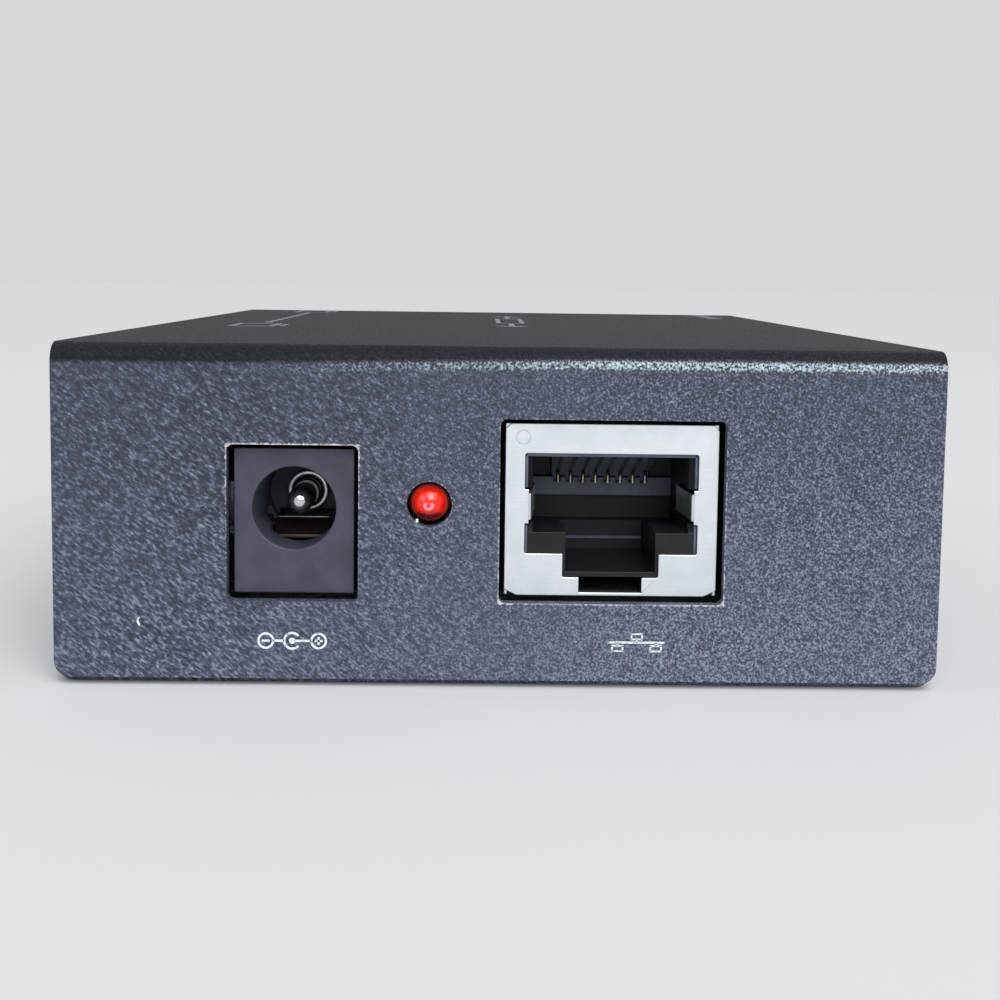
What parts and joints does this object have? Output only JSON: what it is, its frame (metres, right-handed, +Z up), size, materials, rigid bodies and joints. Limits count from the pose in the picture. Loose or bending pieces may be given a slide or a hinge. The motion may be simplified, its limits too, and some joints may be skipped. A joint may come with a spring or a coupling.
{
  "type": "hdmi extender",
  "caption": "Flat metal-cased signal extender box with a barrel power jack, a lamp and a shielded network jack in front and a video socket behind.",
  "frame": {"origin": "on the underside, under the middle of the box", "axes": "+Z up, the face with the power jack and the network jack looks along -Y, +X to that face's right as one looks at it"},
  "size_m": [0.067, 0.095, 0.0258],
  "materials": {
    "powder_coated_steel": "fine textured charcoal powder coat",
    "zinc_plated_steel": "zinc plate",
    "black_zinc_screw": "black zinc",
    "fr4_board": "black solder mask",
    "jack_plastic": "satin moulded, dark grey-blue",
    "connector_plastic": "moulded, near black",
    "carrier_plastic": "moulded, blue-grey",
    "nickel_shell": "nickel plate, brushed by rolling",
    "nickel_pin": "turned and nickel plated",
    "tinned_bronze": "tin-plated spring bronze",
    "tinned_lead": "tin plate",
    "gold_contact": "gold flash",
    "red_epoxy": "diffused red epoxy",
    "chip_epoxy": "moulded epoxy",
    "ferrite": "sintered ferrite",
    "aluminium_can": "drawn aluminium can",
    "crystal_can": "drawn steel can",
    "ceramic_body": "fired ceramic with tinned ends",
    "resistor_body": "glazed film on ceramic"
  },
  "bodies": {
    "chassis": {"upper_cover": "powder_coated_steel", "lower_tray": "powder_coated_steel", "cover_brackets": "zinc_plated_steel", "board_standoffs": "zinc_plated_steel", "board_screws": "zinc_plated_steel", "cover_screws": "black_zinc_screw", "circuit_board": "fr4_board", "dc_jack_body": "jack_plastic", "rj45_housing": "connector_plastic", "hdmi_housing": "connector_plastic", "rj45_contact_carrier": "carrier_plastic", "rj45_shell": "nickel_shell", "hdmi_shell": "nickel_shell", "dc_jack_pin": "nickel_pin", "dc_jack_leaf_terminal": "tinned_bronze", "dc_jack_switch_contact": "tinned_bronze", "led_leads": "tinned_lead", "rj45_contact_tails": "tinned_lead", "main_chip_leads": "tinned_lead", "line_transformer_leads": "tinned_lead", "memory_chip_leads": "tinned_lead", "voltage_regulator_leads": "tinned_lead", "hdmi_contact_tails": "tinned_lead", "rj45_contact_runs": "gold_contact", "hdmi_contacts": "gold_contact", "led_lens": "red_epoxy", "main_chip": "chip_epoxy", "line_transformer": "chip_epoxy", "memory_chip": "chip_epoxy", "voltage_regulator": "chip_epoxy", "surge_arrays": "chip_epoxy", "power_inductor": "ferrite", "electrolytic_capacitors": "aluminium_can", "crystal": "crystal_can", "ceramic_capacitors": "ceramic_body", "chip_resistors": "resistor_body"},
    "rj45_wires": {"rj45_contact_wires": "gold_contact"},
    "dc_leaf": {"dc_jack_leaf": "tinned_bronze"},
    "rj45_left_spring": {"rj45_left_finger": "nickel_shell"},
    "rj45_right_spring": {"rj45_right_finger": "nickel_shell"},
    "hdmi_upper_spring_pair": {"hdmi_upper_springs": "nickel_shell"},
    "hdmi_lower_spring_pair": {"hdmi_lower_springs": "nickel_shell"}
  },
  "joints": [
    {"name": "rj45_wires_flex", "type": "hinge", "parent": "chassis", "child": "rj45_wires", "pos_m": [0.0085, -0.044, 0.0174], "axis": [1, 0, 0], "range_deg": [0, 10], "stiffness_Nm_per_rad": 0.05},
    {"name": "dc_leaf_flex", "type": "hinge", "parent": "chassis", "child": "dc_leaf", "pos_m": [-0.0154, -0.0354, 0.01005], "axis": [1, 0, 0], "range_deg": [0, 12], "stiffness_Nm_per_rad": 0.08},
    {"name": "rj45_left_finger_flex", "type": "hinge", "parent": "chassis", "child": "rj45_left_spring", "pos_m": [0.00235, -0.0461, 0.0137], "axis": [0, 0, 1], "range_deg": [0, 4], "stiffness_Nm_per_rad": 0.05},
    {"name": "rj45_right_finger_flex", "type": "hinge", "parent": "chassis", "child": "rj45_right_spring", "pos_m": [0.01465, -0.0461, 0.0137], "axis": [0, 0, -1], "range_deg": [0, 4], "stiffness_Nm_per_rad": 0.05},
    {"name": "hdmi_upper_springs_flex", "type": "hinge", "parent": "chassis", "child": "hdmi_upper_spring_pair", "pos_m": [0, 0.03972, 0.01265], "axis": [1, 0, 0], "range_deg": [0, 3], "stiffness_Nm_per_rad": 0.1},
    {"name": "hdmi_lower_springs_flex", "type": "hinge", "parent": "chassis", "child": "hdmi_lower_spring_pair", "pos_m": [0, 0.03972, 0.00735], "axis": [-1, 0, 0], "range_deg": [0, 3], "stiffness_Nm_per_rad": 0.1}
  ]
}
